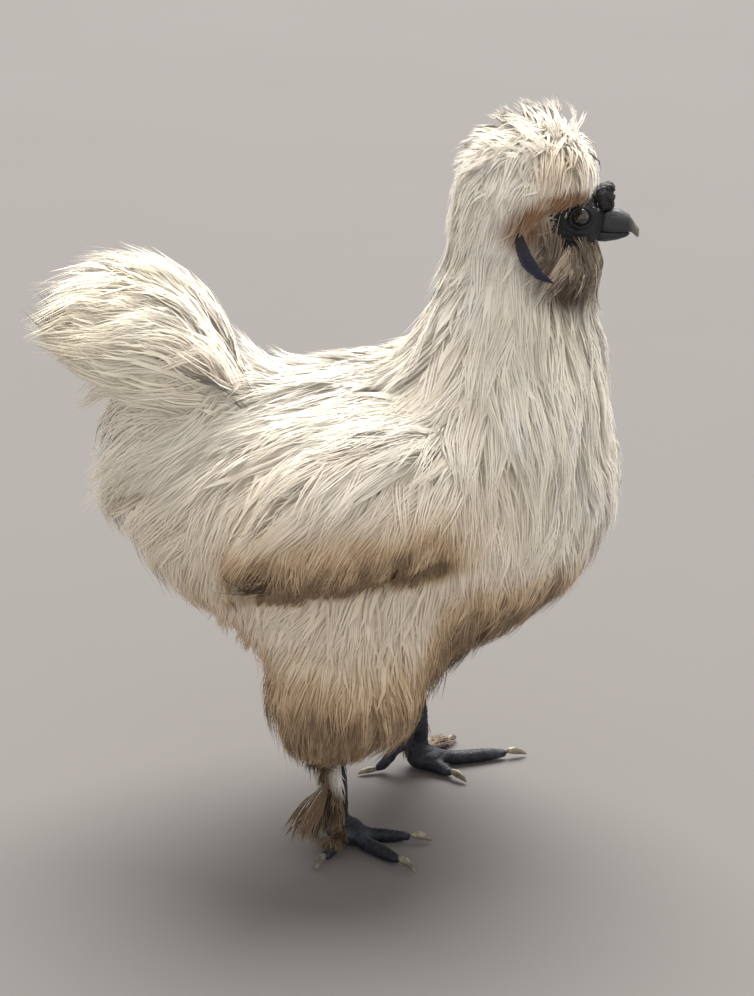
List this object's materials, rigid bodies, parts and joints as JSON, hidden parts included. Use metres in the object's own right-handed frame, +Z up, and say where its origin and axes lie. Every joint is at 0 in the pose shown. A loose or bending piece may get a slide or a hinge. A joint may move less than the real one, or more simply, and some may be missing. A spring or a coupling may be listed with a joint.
{
  "type": "silkie chicken",
  "caption": "Still, life-size model of a standing white silkie chicken with crest, beard, fluffy plumage, short upturned tail and dark feathered feet, one foot ahead.",
  "frame": {"origin": "on the floor, below the middle of the bird's bounding box", "axes": "+X towards the bill, +Y to the bird's left, +Z up"},
  "size_m": [0.2698, 0.1746, 0.3339],
  "materials": {
    "plumage": "matte",
    "dark_plumage": "matte",
    "bill_horn": "satin",
    "comb_skin": "satin",
    "lobe_skin": "satin",
    "eye": "gloss",
    "leg_skin": "satin",
    "claw_horn": "satin"
  },
  "bodies": {
    "root": {"trunk": "plumage", "neck": "plumage", "head": "plumage", "crest": "plumage", "tail": "plumage", "beard": "dark_plumage", "bill_upper": "bill_horn", "bill_lower": "bill_horn", "comb": "comb_skin", "eye_right": "eye", "eye_left": "eye", "earlobe_right": "lobe_skin", "earlobe_left": "lobe_skin", "wing_right": "plumage", "wing_left": "plumage", "thigh_right": "plumage", "thigh_left": "plumage", "shank_right": "leg_skin", "shank_left": "leg_skin", "foot_right": "leg_skin", "foot_left": "leg_skin", "foot_feathers_right": "dark_plumage", "foot_feathers_left": "dark_plumage", "claw_inner_right": "claw_horn", "claw_middle_right": "claw_horn", "claw_outer_right": "claw_horn", "claw_hind_right": "claw_horn", "claw_fifth_right": "claw_horn", "claw_inner_left": "claw_horn", "claw_middle_left": "claw_horn", "claw_outer_left": "claw_horn", "claw_hind_left": "claw_horn", "claw_fifth_left": "claw_horn"}
  },
  "joints": []
}
